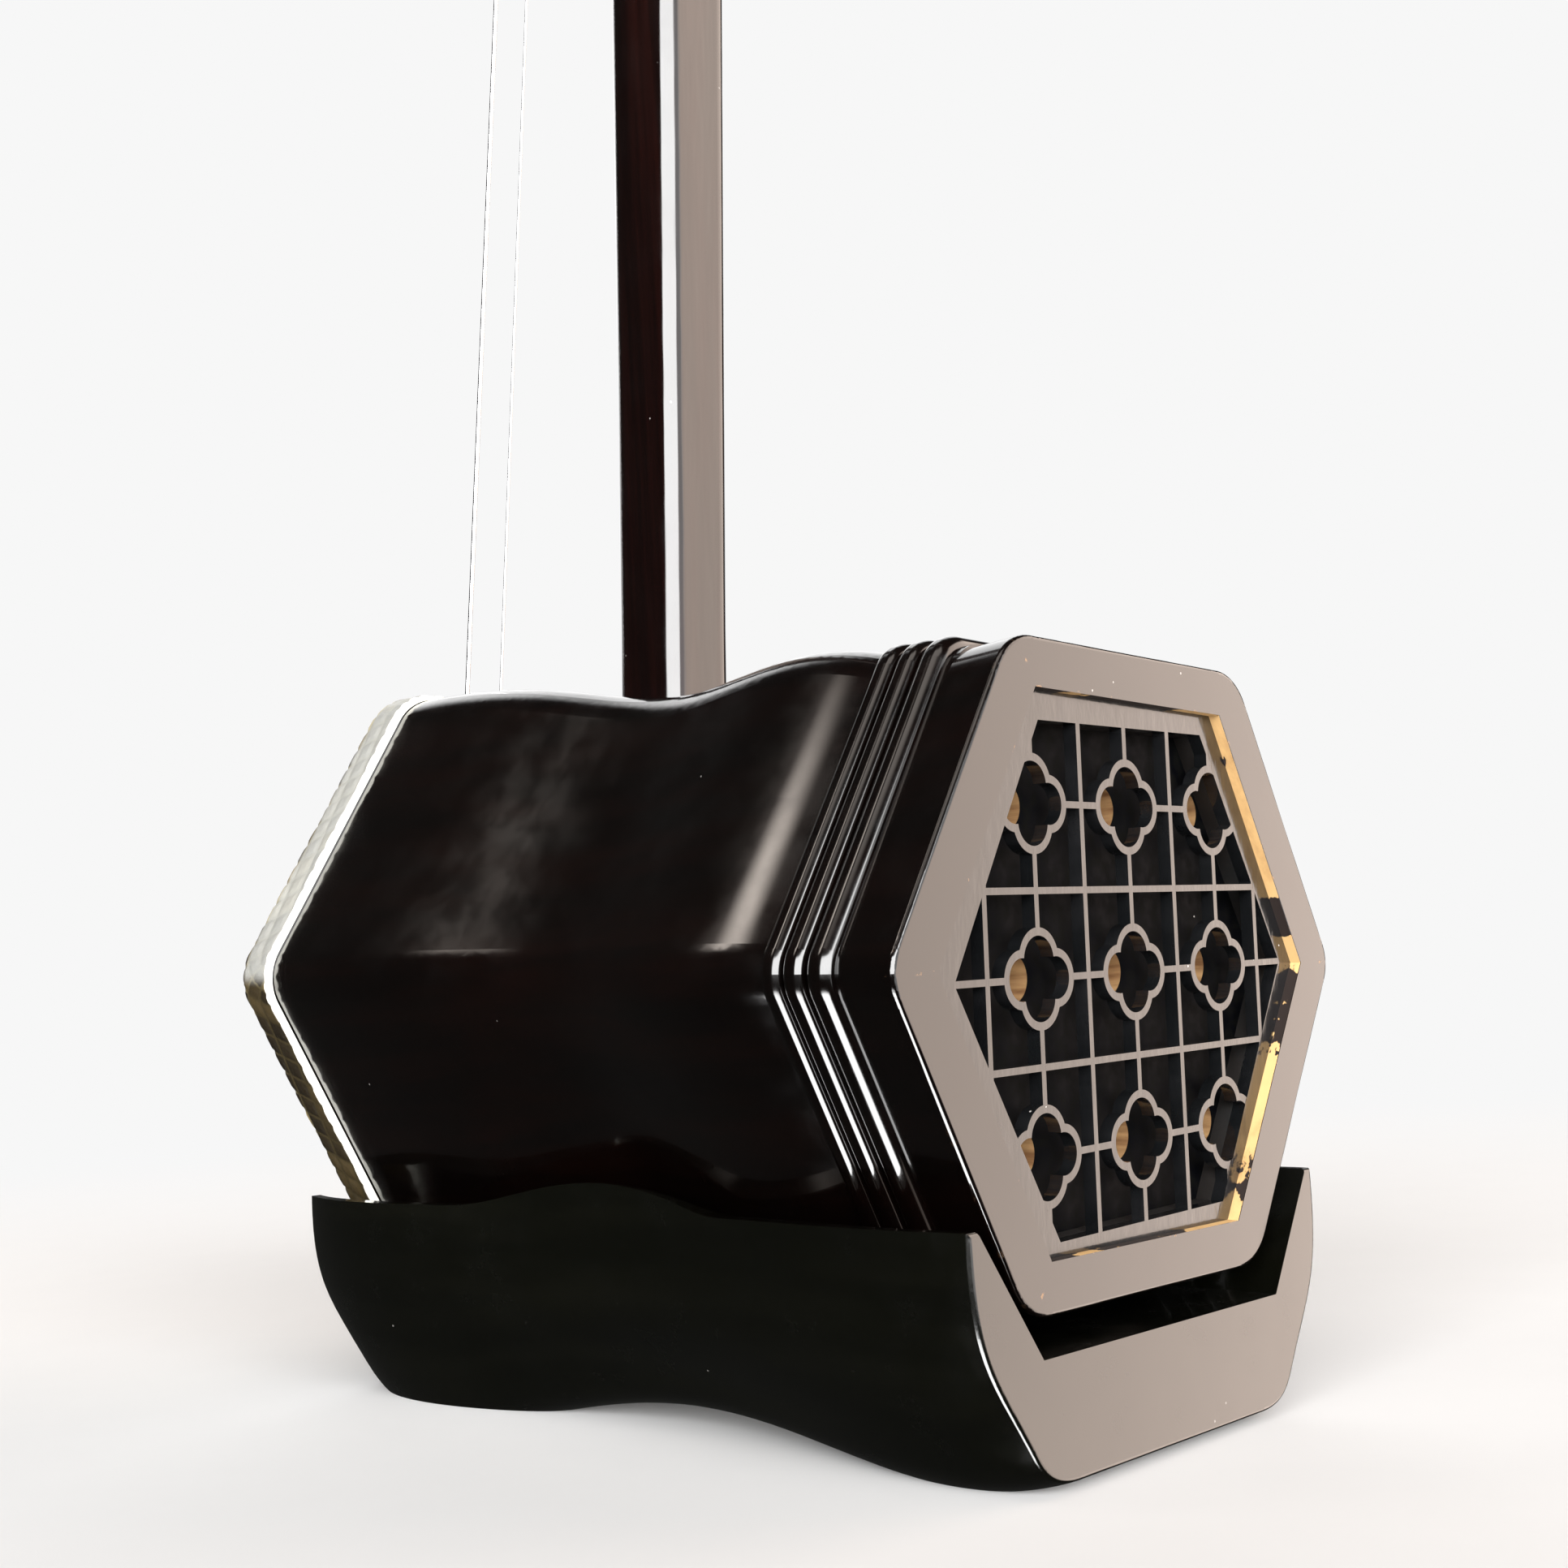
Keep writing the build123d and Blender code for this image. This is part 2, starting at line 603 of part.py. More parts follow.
with BuildPart() as tail_hook:
    with BuildSketch(Plane.XY.offset(cradle_floor)) as plate:
        with Locations((0, hook_y)):
            Rectangle(16, 12)
        fillet(plate.vertices(), 2)
    extrude(amount=hook_plate)
    with Locations(*[(x, hook_y, cradle_floor) for x in (-hook_half_spacing, hook_half_spacing)]):
        Cylinder(prong_radius, prong_height, align=(Align.CENTER, Align.CENTER, Align.MIN))
    with Locations((0, hook_y + 3, cradle_floor)):
        Cylinder(hook_screw_radius, 20, mode=Mode.SUBTRACT)
write(tail_hook, "tail_hook", leaned=False)

with BuildPart() as hook_screw:
    with Locations((0, hook_y + 3, cradle_floor + hook_plate)):
        Cylinder(2.2, 1.0, align=(Align.CENTER, Align.CENTER, Align.MIN))
        Cylinder(hook_screw_radius, hook_screw_length, align=(Align.CENTER, Align.CENTER, Align.MAX))
write(hook_screw, "hook_screw", leaned=False)
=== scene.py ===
"""Looks for the erhu: camera, studio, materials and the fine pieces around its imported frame."""
import math

import bmesh
import bpy
from mathutils import Matrix, Vector


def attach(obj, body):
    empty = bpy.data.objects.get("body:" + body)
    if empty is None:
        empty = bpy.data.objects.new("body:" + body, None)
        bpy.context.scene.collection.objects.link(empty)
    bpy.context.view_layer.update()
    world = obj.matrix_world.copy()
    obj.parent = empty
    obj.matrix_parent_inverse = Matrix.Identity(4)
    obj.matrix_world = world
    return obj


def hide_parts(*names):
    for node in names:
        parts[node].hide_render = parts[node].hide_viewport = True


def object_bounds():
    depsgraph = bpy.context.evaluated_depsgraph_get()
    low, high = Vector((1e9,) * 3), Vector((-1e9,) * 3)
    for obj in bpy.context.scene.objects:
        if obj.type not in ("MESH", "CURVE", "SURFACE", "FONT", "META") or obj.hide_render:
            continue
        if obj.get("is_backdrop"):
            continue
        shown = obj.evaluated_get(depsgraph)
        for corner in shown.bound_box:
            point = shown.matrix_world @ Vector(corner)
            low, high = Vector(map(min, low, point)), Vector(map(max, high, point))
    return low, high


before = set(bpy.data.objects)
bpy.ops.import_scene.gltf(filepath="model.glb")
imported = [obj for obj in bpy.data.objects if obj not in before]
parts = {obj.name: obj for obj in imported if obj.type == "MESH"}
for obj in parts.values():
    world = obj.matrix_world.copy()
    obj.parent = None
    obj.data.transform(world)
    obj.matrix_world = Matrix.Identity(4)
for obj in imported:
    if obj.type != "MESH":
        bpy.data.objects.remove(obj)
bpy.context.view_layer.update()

LEAN = math.radians(2.8)        # the box and neck lean back from the level base
MM = 0.001
AXIS_Z = 64.5                   # height of the sound box's axis beside the neck, millimetres
TOP_FLAT = 0.853                # centre to top or bottom face, as a share of the box's radius
SIDE_FLAT = 0.883               # centre to a slanted side, as a share of the box's radius
COS_30, SIN_30 = 0.866, 0.5     # direction of the slanted sides
DEGREES = 57.2958               # degrees in a radian


def leaned(x, y, z):
    """Row-frame point, in metres, of a point in millimetres beside the upright box and neck."""
    return Vector((x, y * math.cos(LEAN) + z * math.sin(LEAN),
                   z * math.cos(LEAN) - y * math.sin(LEAN))) * MM


# ---------------------------------------------------------------- camera
camera_data = bpy.data.cameras.new("camera")
camera_data.sensor_width = 36
camera_data.lens = 41.545
camera_data.clip_start = 0.01
camera = bpy.data.objects.new("camera", camera_data)
bpy.context.scene.collection.objects.link(camera)
right = (-0.69892, 0.71341, -0.0507)
up = (0.0563, 0.12555, 0.99049)
back = (0.71298, 0.68941, -0.12791)
turned = Matrix((right, up, back)).transposed().to_4x4()
camera.matrix_world = Matrix.Translation((0.19775, 0.22034, 0.05604)) @ turned
bpy.context.scene.camera = camera

# ---------------------------------------------------------------- studio
bpy.context.scene.view_settings.view_transform = "Standard"


def node(tree, kind, inputs=None, **settings):
    """Add a shader node: inputs are sockets or plain values, settings are its own options."""
    made = tree.nodes.new(kind)
    for key, value in settings.items():
        setattr(made, key, value)
    for key, value in (inputs or {}).items():
        if isinstance(value, bpy.types.NodeSocket):
            tree.links.new(value, made.inputs[key])
        else:
            made.inputs[key].default_value = value
    return made


world = bpy.data.worlds.new("studio")
bpy.context.scene.world = world
world.use_nodes = True
sky = world.node_tree
sky.nodes.clear()


def calc(tree, operation, *values):
    """Math node."""
    return node(tree, "ShaderNodeMath", dict(enumerate(values)), operation=operation).outputs[0]


def level(tree, value, low, high, to_low=0.0, to_high=1.0):
    """Clamped smooth map of a value."""
    return node(tree, "ShaderNodeMapRange", {"Value": value, "From Min": low, "From Max": high,
                                             "To Min": to_low, "To Max": to_high},
                interpolation_type="SMOOTHSTEP").outputs[0]


view = node(sky, "ShaderNodeTexCoord").outputs["Generated"]
heading = node(sky, "ShaderNodeSeparateXYZ", {0: view}).outputs
azimuth = calc(sky, "MULTIPLY", calc(sky, "ARCTAN2", heading["Y"], heading["X"]), DEGREES)
elevation = calc(sky, "MULTIPLY", calc(sky, "ARCSINE", heading["Z"]), DEGREES)


def between(tree, value, low, high, edge):
    """1 from low to high and 0 outside, fading over edge on both sides of each."""
    return calc(tree, "MULTIPLY", level(tree, value, low - edge, low + edge),
                level(tree, value, high + edge, high - edge))


def softbox(azimuths, elevations, edge, radiance, colour=(1, 1, 1)):
    """Soft-edged panel of light in the sky: azimuth 0 is +X and 90 is +Y, degrees."""
    inside = calc(sky, "MULTIPLY", between(sky, azimuth, *azimuths, edge),
                  between(sky, elevation, *elevations, edge))
    tint = node(sky, "ShaderNodeCombineXYZ", {axis: radiance * c for axis, c in zip("XYZ", colour)})
    return node(sky, "ShaderNodeVectorMath", {0: tint.outputs[0], "Scale": inside},
                operation="SCALE").outputs[0]


lights = [
    softbox((118, 170), (-34, 40), 5, 2.5, (1.2, 0.99, 0.86)),          # wide window, warm
    softbox((2, 86), (-3, 32), 4, 11.0),                                # bright window
    softbox((84, 120), (-14, 28), 4, 1.6),                              # wall between the windows
    softbox((-16, 84), (52, 78), 6, 1.3, (1.08, 0.98, 0.9)),            # ceiling
    softbox((-44, -33), (38, 54), 5, 5.0, (1.1, 0.98, 0.88)),           # far end of the ceiling
    softbox((-16, 56), (-74, -36), 6, 14.0),                            # light thrown up from below
    softbox((-160, -100), (15, 55), 10, 1.4),                           # fill from the front
]
glow = node(sky, "ShaderNodeCombineXYZ", {"X": 0.02, "Y": 0.02, "Z": 0.019}).outputs[0]
for light in lights:
    glow = node(sky, "ShaderNodeVectorMath", {0: glow, 1: light}, operation="ADD").outputs[0]
ray = node(sky, "ShaderNodeLightPath")
studio = node(sky, "ShaderNodeBackground", {"Color": glow, "Strength": 1.0})
seen = node(sky, "ShaderNodeBackground", {"Color": (0.93, 0.93, 0.93, 1), "Strength": 1.0})
shown = node(sky, "ShaderNodeMixShader", {0: ray.outputs["Is Camera Ray"],
                                          1: studio.outputs[0], 2: seen.outputs[0]})
node(sky, "ShaderNodeOutputWorld", {"Surface": shown.outputs[0]})

FLOOR_REACH = 40.0              # half the floor's side, metres
floor_mesh = bpy.data.meshes.new("floor")
floor_mesh.from_pydata([(FLOOR_REACH * x, FLOOR_REACH * y, 0)
                        for x, y in ((-1, -1), (1, -1), (1, 1), (-1, 1))], [], [(0, 1, 2, 3)])
floor = bpy.data.objects.new("floor", floor_mesh)
bpy.context.scene.collection.objects.link(floor)
floor.visible_glossy = False
floor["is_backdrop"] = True


# ---------------------------------------------------------------- material tools
def new_material(name, **shader_values):
    """Material with one Principled shader whose plain values are set on its own sockets."""
    made = bpy.data.materials.new(name)
    made.use_nodes = True
    tree = made.node_tree
    shader = tree.nodes["Principled BSDF"]
    for key, value in shader_values.items():
        shader.inputs[key.replace("_", " ")].default_value = value
    return made, tree, shader


def place(tree, scale=(1, 1, 1)):
    """Position in the row frame, in metres, stretched by scale."""
    spot = node(tree, "ShaderNodeTexCoord")
    return node(tree, "ShaderNodeMapping", {"Vector": spot.outputs["Object"],
                                            "Scale": scale}).outputs[0]


def upright(tree):
    """X, Y and Z of the surface beside the upright box, in metres."""
    spot = node(tree, "ShaderNodeTexCoord")
    stood = node(tree, "ShaderNodeMapping", {"Vector": spot.outputs["Object"],
                                             "Rotation": (LEAN, 0, 0)})
    return node(tree, "ShaderNodeSeparateXYZ", {0: stood.outputs[0]}).outputs


def noise(tree, where, scale, detail=4.0, rough=0.55):
    """Factor output of a noise texture."""
    return node(tree, "ShaderNodeTexNoise", {"Vector": where, "Scale": scale, "Detail": detail,
                                             "Roughness": rough}).outputs["Fac"]


def ramp(tree, value, *stops):
    """Colour ramp through (position, colour) stops."""
    made = node(tree, "ShaderNodeValToRGB", {"Fac": value})
    bar = made.color_ramp
    while len(bar.elements) < len(stops):
        bar.elements.new(0.5)
    for element, (position, colour) in zip(bar.elements, stops):
        element.position = position
        element.color = (*colour, 1) if len(colour) == 3 else colour
    return made.outputs["Color"]


def mixed(tree, factor, first, second):
    """Colour mix."""
    made = node(tree, "ShaderNodeMix", {"Factor": factor}, data_type="RGBA")
    for socket, value in ((made.inputs[6], first), (made.inputs[7], second)):
        if isinstance(value, bpy.types.NodeSocket):
            tree.links.new(value, socket)
        else:
            socket.default_value = (*value, 1)
    return made.outputs[2]


def bump(tree, shader, height, distance, strength):
    """Bump into the shader's normal, distance in metres."""
    made = node(tree, "ShaderNodeBump", {"Height": height, "Distance": distance,
                                         "Strength": strength})
    tree.links.new(made.outputs[0], shader.inputs["Normal"])


def paint(names, material):
    """Give CAD nodes a material."""
    for name in names:
        mesh = parts[name].data
        mesh.materials.clear()
        mesh.materials.append(material)


def edge_mask(tree, width, scale, low, high):
    """1 where the surface is within width of a sharp edge and a noise is high: worn edges."""
    flat = node(tree, "ShaderNodeNewGeometry")
    bevel = node(tree, "ShaderNodeBevel", {"Radius": width}, samples=6)
    turn = node(tree, "ShaderNodeVectorMath", {0: flat.outputs["Normal"], 1: bevel.outputs[0]},
                operation="DOT_PRODUCT").outputs["Value"]
    near = level(tree, turn, 0.999, 0.93)
    patchy = level(tree, noise(tree, place(tree), scale, 5.0, 0.7), low, high)
    return calc(tree, "MULTIPLY", near, patchy)


# ---------------------------------------------------------------- lacquer
def dusted(tree, body, amount, density=75.0):
    """Sparse pale specks over a colour."""
    dust = node(tree, "ShaderNodeTexVoronoi", {"Vector": place(tree), "Scale": 330.0,
                                               "Randomness": 1.0})
    speck = calc(tree, "LESS_THAN", dust.outputs["Distance"], 0.055)
    rare = calc(tree, "GREATER_THAN", noise(tree, place(tree), density, 2.0), 0.62)
    shown = calc(tree, "MULTIPLY", calc(tree, "MULTIPLY", speck, rare), amount)
    return mixed(tree, shown, body, (0.55, 0.53, 0.5))


# each relief: a noise's stretch, scale, detail and roughness, then the bump's metres and strength
PEEL = ((1, 1, 1), 260.0, 2.0, 0.4, 0.00006, 0.12)
RIPPLES = ((1, 1, 0.12), 170.0, 3.0, 0.5, 0.0006, 0.6)
BRUSHED = ((1, 1, 0.35), 520.0, 3.0, 0.55, 0.00025, 0.6)


def lacquer(name, dark, warm, grain, gloss=0.16, dust=0.5, relief=PEEL):
    """Deep glossy lacquer over dark wood, with faint grain and dust.

    Gives the material, its tree and shader, and the outputs of its colour and roughness.
    """
    made, tree, shader = new_material(name, Coat_Weight=1.0, Coat_Roughness=0.05, Coat_IOR=1.5,
                                      IOR=1.5, Specular_IOR_Level=0.5)
    figure = noise(tree, place(tree, grain), 60.0, 6.0, 0.6)
    cloud = noise(tree, place(tree), 18.0, 3.0)
    body = mixed(tree, level(tree, figure, 0.35, 0.75), dark, warm)
    body = mixed(tree, calc(tree, "MULTIPLY", level(tree, cloud, 0.45, 0.8), 0.6), body, dark)
    body = dusted(tree, body, dust)
    haze = noise(tree, place(tree), 120.0, 5.0, 0.65)
    rough = level(tree, haze, 0.3, 0.75, gloss * 0.75, gloss * 1.5)
    tree.links.new(body, shader.inputs["Base Color"])
    tree.links.new(rough, shader.inputs["Roughness"])
    stretch, scale, detail, raggedness, height, strength = relief
    surface = noise(tree, place(tree, stretch), scale, detail, raggedness)
    bump(tree, shader, surface, height, strength)
    return made, tree, shader, body, rough


def wood_colour(tree, grain, light, dark):
    """Bare wood figure."""
    figure = noise(tree, place(tree, grain), 90.0, 6.0, 0.65)
    return ramp(tree, figure, (0.3, dark), (0.5, light), (0.8, [min(1, 1.25 * c) for c in light]))


def nearby(tree, value, centre, outer, inner):
    """1 within inner of a centre, fading to 0 at outer: metres."""
    return level(tree, calc(tree, "ABSOLUTE", calc(tree, "SUBTRACT", value, centre)), outer, inner)


def both(tree, first, second):
    """1 where two masks are both 1."""
    return calc(tree, "MULTIPLY", first, second)


def box_look():
    """The staves: lacquer outside, bare wood in the bore, chips by the window, a glue line."""
    made, tree, shader, body, rough = lacquer("box_lacquer", (0.0010, 0.0005, 0.0004),
                                              (0.0028, 0.0009, 0.0006), (3, 0.25, 3))
    x, y, z = upright(tree)
    up = calc(tree, "SUBTRACT", z, AXIS_Z * MM)
    # radius of the hexagon that a point lies on
    reach = calc(tree, "DIVIDE", calc(tree, "ABSOLUTE", up), TOP_FLAT)
    for sign in (1, -1):
        slanted = calc(tree, "ADD", calc(tree, "MULTIPLY", x, COS_30),
                       calc(tree, "MULTIPLY", up, SIN_30 * sign))
        flat = calc(tree, "DIVIDE", calc(tree, "ABSOLUTE", slanted), SIDE_FLAT)
        reach = calc(tree, "MAXIMUM", reach, flat)
    recess = both(tree, calc(tree, "LESS_THAN", reach, 44.9 * MM),
                  calc(tree, "LESS_THAN", y, 87.8 * MM))
    deep = both(tree, recess, calc(tree, "LESS_THAN", y, 83.0 * MM))

    # lacquer chipped off the recess, mostly on one side, but kept at two heights
    side = level(tree, x, -8 * MM, -20 * MM)
    flakes = noise(tree, place(tree, (1, 1, 0.6)), 95.0, 5.0, 0.62)
    kept = calc(tree, "MAXIMUM", nearby(tree, z, 57 * MM, 7 * MM, 5 * MM),
                nearby(tree, z, 71 * MM, 3.4 * MM, 1.8 * MM))
    loss = calc(tree, "SUBTRACT", calc(tree, "MULTIPLY", side, 0.2),
                calc(tree, "MULTIPLY", kept, 0.17))
    chips = both(tree, recess, level(tree, calc(tree, "ADD", flakes, loss), 0.585, 0.6))
    worn = both(tree, edge_mask(tree, 0.5 * MM, 420.0, 0.60, 0.66),
                calc(tree, "GREATER_THAN", y, 86.6 * MM))
    glue = both(tree, calc(tree, "LESS_THAN", y, -33.64 * MM),
                calc(tree, "GREATER_THAN", reach, 45 * MM))

    gold = wood_colour(tree, (1, 1, 0.4), (0.66, 0.41, 0.17), (0.36, 0.18, 0.06))
    brown = wood_colour(tree, (1, 0.2, 1), (0.36, 0.19, 0.07), (0.12, 0.05, 0.02))
    for mask, colour in ((recess, (0.012, 0.005, 0.003)), (chips, gold), (deep, brown),
                         (worn, (0.34, 0.20, 0.11)), (glue, (0.86, 0.85, 0.80))):
        body = mixed(tree, mask, body, colour)
    bare = calc(tree, "MAXIMUM", recess, calc(tree, "MAXIMUM", worn, glue))
    tree.links.new(body, shader.inputs["Base Color"])
    tree.links.new(node(tree, "ShaderNodeMix", {"Factor": bare, 2: rough, 3: 0.7}).outputs[0],
                   shader.inputs["Roughness"])
    tree.links.new(calc(tree, "SUBTRACT", 1.0, bare), shader.inputs["Coat Weight"])
    return made


neck_look = lacquer("neck_lacquer", (0.0022, 0.0006, 0.0005), (0.011, 0.0022, 0.0016),
                    (4, 4, 0.12), relief=RIPPLES)[0]
base_look = lacquer("base_lacquer", (0.0012, 0.0013, 0.0006), (0.0026, 0.0026, 0.0014),
                    (3, 0.2, 3), 0.2, 0.3)[0]
peg_look = lacquer("peg_lacquer", (0.003, 0.0015, 0.0013), (0.011, 0.004, 0.0025), (4, 0.3, 4))[0]
lattice_look = lacquer("lattice_lacquer", (0.004, 0.0045, 0.005), (0.011, 0.011, 0.012),
                       (3, 0.3, 3), 0.2, 0.9, BRUSHED)[0]
paint([n for n in parts if n.startswith("stave_")], box_look())
paint(["neck"], neck_look)
paint(["base"], base_look)
paint(["peg_upper", "peg_lower"], peg_look)

# ---------------------------------------------------------------- sound window
paint(["window_lattice"], lattice_look)
soft = parts["window_lattice"].modifiers.new("soft_edges", "BEVEL")
soft.width = 0.14 * MM
soft.segments = 2
soft.limit_method = "ANGLE"
soft.angle_limit = math.radians(40)


def raw_wood(name, light, dark, grain):
    """Bare wood with stain run over it; with the near-black colours given for the window's liner it
    is painted shade.
    """
    made, tree, shader = new_material(name)
    tree.links.new(wood_colour(tree, grain, light, dark), shader.inputs["Base Color"])
    figure = noise(tree, place(tree, grain), 90.0, 6.0, 0.65)
    tree.links.new(level(tree, figure, 0.3, 0.8, 0.75, 0.45), shader.inputs["Roughness"])
    bump(tree, shader, figure, 0.0003, 0.4)
    return made


def backing_board():
    """Dull black board, dusty, whose drilled holes show the bare wood."""
    made, tree, shader = new_material("backing_board")
    shader.inputs["Specular IOR Level"].default_value = 0.04
    normal = node(tree, "ShaderNodeNewGeometry").outputs["Normal"]
    facing = node(tree, "ShaderNodeSeparateXYZ", {0: normal}).outputs
    drilled = calc(tree, "LESS_THAN", calc(tree, "ABSOLUTE", facing["Y"]), 0.5)
    figure = noise(tree, place(tree, (3, 0.3, 3)), 200.0, 5.0)
    face = mixed(tree, level(tree, figure, 0.4, 0.7), (0.0010, 0.0011, 0.0018),
                 (0.0030, 0.0030, 0.0026))
    face = dusted(tree, face, 0.9, 140.0)
    wall = ramp(tree, figure, (0.35, (0.20, 0.10, 0.045)), (0.6, (0.46, 0.28, 0.13)))
    tree.links.new(mixed(tree, drilled, face, wall), shader.inputs["Base Color"])
    tree.links.new(level(tree, figure, 0.3, 0.7, 0.45, 0.65), shader.inputs["Roughness"])
    return made


paint(["window_backing"], backing_board())
# the liner's wood is near-black: painted shade for the deep walls inside the window's openings
paint(["window_liner"],
      raw_wood("liner_wood_painted_shade", (0.007, 0.005, 0.004), (0.002, 0.002, 0.002), (1, 1, 1)))
paint(["bridge"], raw_wood("bridge_wood", (0.62, 0.42, 0.22), (0.45, 0.27, 0.12), (0.3, 3, 3)))


# ---------------------------------------------------------------- skin, metal, bone, felt, thread
def snakeskin():
    """Python skin: a dark saddle pattern, scale by scale; on the band where it wraps the box's
    edge, painted highlight makes the upper half pale and painted shade darkens the lower half.
    """
    made, tree, shader = new_material("snakeskin", Coat_Weight=0.3, Coat_Roughness=0.2)
    sheet = node(tree, "ShaderNodeUVMap", uv_map="unrolled").outputs[0]
    cell = node(tree, "ShaderNodeVectorMath", {0: sheet}, operation="FLOOR").outputs[0]
    within = node(tree, "ShaderNodeVectorMath", {0: sheet}, operation="FRACTION").outputs[0]
    spot = node(tree, "ShaderNodeSeparateXYZ", {0: within}).outputs
    gaps = [calc(tree, "MINIMUM", spot[axis], calc(tree, "SUBTRACT", 1.0, spot[axis]))
            for axis in (0, 1)]
    gap = calc(tree, "MINIMUM", *gaps)
    saddle = noise(tree, cell, 0.17, 2.0, 0.5)
    own = node(tree, "ShaderNodeTexWhiteNoise", {"Vector": cell}).outputs["Value"]
    tone = calc(tree, "ADD", saddle,
                calc(tree, "MULTIPLY", calc(tree, "SUBTRACT", own, 0.5), 0.07))
    _, y, z = upright(tree)
    # painted shade: the lower half of the band round the box's edge gets a darker pattern, darker
    # grooves and a wash towards near-black
    shaded_flank = both(tree, level(tree, y, -41.6 * MM, -39.8 * MM), level(tree, z, 66 * MM, 62 * MM))
    tone = calc(tree, "ADD", tone, calc(tree, "MULTIPLY", shaded_flank, 0.06))
    scale = ramp(tree, tone, (0.42, (0.50, 0.45, 0.30)), (0.48, (0.36, 0.27, 0.11)),
                 (0.50, (0.040, 0.028, 0.014)), (0.57, (0.016, 0.011, 0.007)),
                 (0.64, (0.10, 0.07, 0.028)))
    grooves = mixed(tree, shaded_flank, (0.30, 0.26, 0.15), (0.075, 0.055, 0.022))
    body = mixed(tree, level(tree, gap, 0.02, 0.13), grooves, scale)
    # painted shade: the band's lower half washed half-way to near-black
    body = mixed(tree, calc(tree, "MULTIPLY", shaded_flank, 0.5), body, (0.012, 0.009, 0.004))
    # painted highlight: the upper half of the band round the box's edge turned pale grey
    wrap = level(tree, y, -41.2 * MM, -39.8 * MM)
    pale = both(tree, wrap, level(tree, z, 63.0 * MM, 65.5 * MM))
    highlight_grey = mixed(tree, noise(tree, place(tree), 400.0, 4.0), (0.27, 0.27, 0.25), (0.35, 0.35, 0.33))
    body = mixed(tree, calc(tree, "MULTIPLY", pale, 0.92), body, highlight_grey)
    cut = level(tree, y, -34.7 * MM, -34.5 * MM)
    body = mixed(tree, cut, body, (0.82, 0.80, 0.72))
    tree.links.new(body, shader.inputs["Base Color"])
    fine = noise(tree, sheet, 9.0, 4.0)
    tree.links.new(level(tree, fine, 0.3, 0.7, 0.28, 0.5), shader.inputs["Roughness"])
    bump(tree, shader, fine, 0.00008, 0.5)
    return made


def metal(name, colour, roughness, fine):
    """Metal with fine drawn lines."""
    made, tree, shader = new_material(name, Metallic=1.0)
    lines = noise(tree, place(tree, fine), 500.0, 3.0)
    body = mixed(tree, lines, colour, [0.75 * c for c in colour])
    tree.links.new(body, shader.inputs["Base Color"])
    tree.links.new(level(tree, lines, 0.3, 0.7, roughness * 0.7, roughness * 1.4),
                   shader.inputs["Roughness"])
    bump(tree, shader, lines, 0.00005, 0.3)
    return made


def soft_stuff(name, light, dark, scale):
    """Felt or thread: fuzzy fibres."""
    made, tree, shader = new_material(name, Roughness=0.95, Sheen_Weight=0.5, Sheen_Roughness=0.5)
    fibres = noise(tree, place(tree), scale, 8.0, 0.75)
    body = mixed(tree, level(tree, fibres, 0.3, 0.7), dark, light)
    tree.links.new(body, shader.inputs["Base Color"])
    bump(tree, shader, fibres, 0.0004, 0.8)
    return made


def bone():
    """Polished bone with faint veins."""
    made, tree, shader = new_material("bone", Coat_Weight=0.6, Coat_Roughness=0.08,
                                      Subsurface_Weight=0.2, Subsurface_Scale=0.002)
    veins = noise(tree, place(tree, (1, 1, 4)), 350.0, 6.0, 0.7)
    body = mixed(tree, level(tree, veins, 0.45, 0.7), (0.80, 0.75, 0.62), (0.62, 0.52, 0.36))
    tree.links.new(body, shader.inputs["Base Color"])
    tree.links.new(level(tree, veins, 0.3, 0.8, 0.2, 0.4), shader.inputs["Roughness"])
    return made


steel = metal("string_steel", (0.72, 0.72, 0.73), 0.22, (1, 1, 12))
paint(["string_inner", "string_outer", "string_winding_upper", "string_winding_lower"], steel)
paint(["base_bolt", "base_washer", "tail_hook", "hook_screw"],
      metal("brass", (0.80, 0.58, 0.26), 0.22, (1, 4, 4)))
paint(["peg_button_upper", "peg_button_lower", "head_inlay"], bone())
felt = soft_stuff("felt", (0.10, 0.10, 0.105), (0.03, 0.03, 0.033), 2200.0)
thread = soft_stuff("thread", (0.42, 0.05, 0.04), (0.18, 0.015, 0.012), 1500.0)
skin_look = snakeskin()
paint(["cradle_felt", "damper_pad"], felt)
paint(["nut_loop"], thread)
paint(["python_skin"], skin_look)


# ---------------------------------------------------------------- fine pieces
def upright_box(name):
    """Lowest and highest corners of a CAD node beside the upright box, in millimetres."""
    turn = Matrix.Rotation(LEAN, 3, "X")
    stood = [turn @ vertex.co / MM for vertex in parts[name].data.vertices]
    return [[pick(point[axis] for point in stood) for axis in range(3)] for pick in (min, max)]


def piece(name, points, faces, body, stands_for, slot, material):
    """Smooth mesh of row-frame points in metres, riding a body in place of a CAD node."""
    mesh = bpy.data.meshes.new(name)
    mesh.from_pydata([tuple(point) for point in points], [], faces)
    draft = bmesh.new()
    draft.from_mesh(mesh)
    bmesh.ops.recalc_face_normals(draft, faces=draft.faces)
    draft.to_mesh(mesh)
    draft.free()
    mesh.materials.append(material)
    mesh.shade_smooth()
    made = bpy.data.objects.new(name, mesh)
    bpy.context.scene.collection.objects.link(made)
    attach(made, body)
    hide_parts(stands_for)
    return made


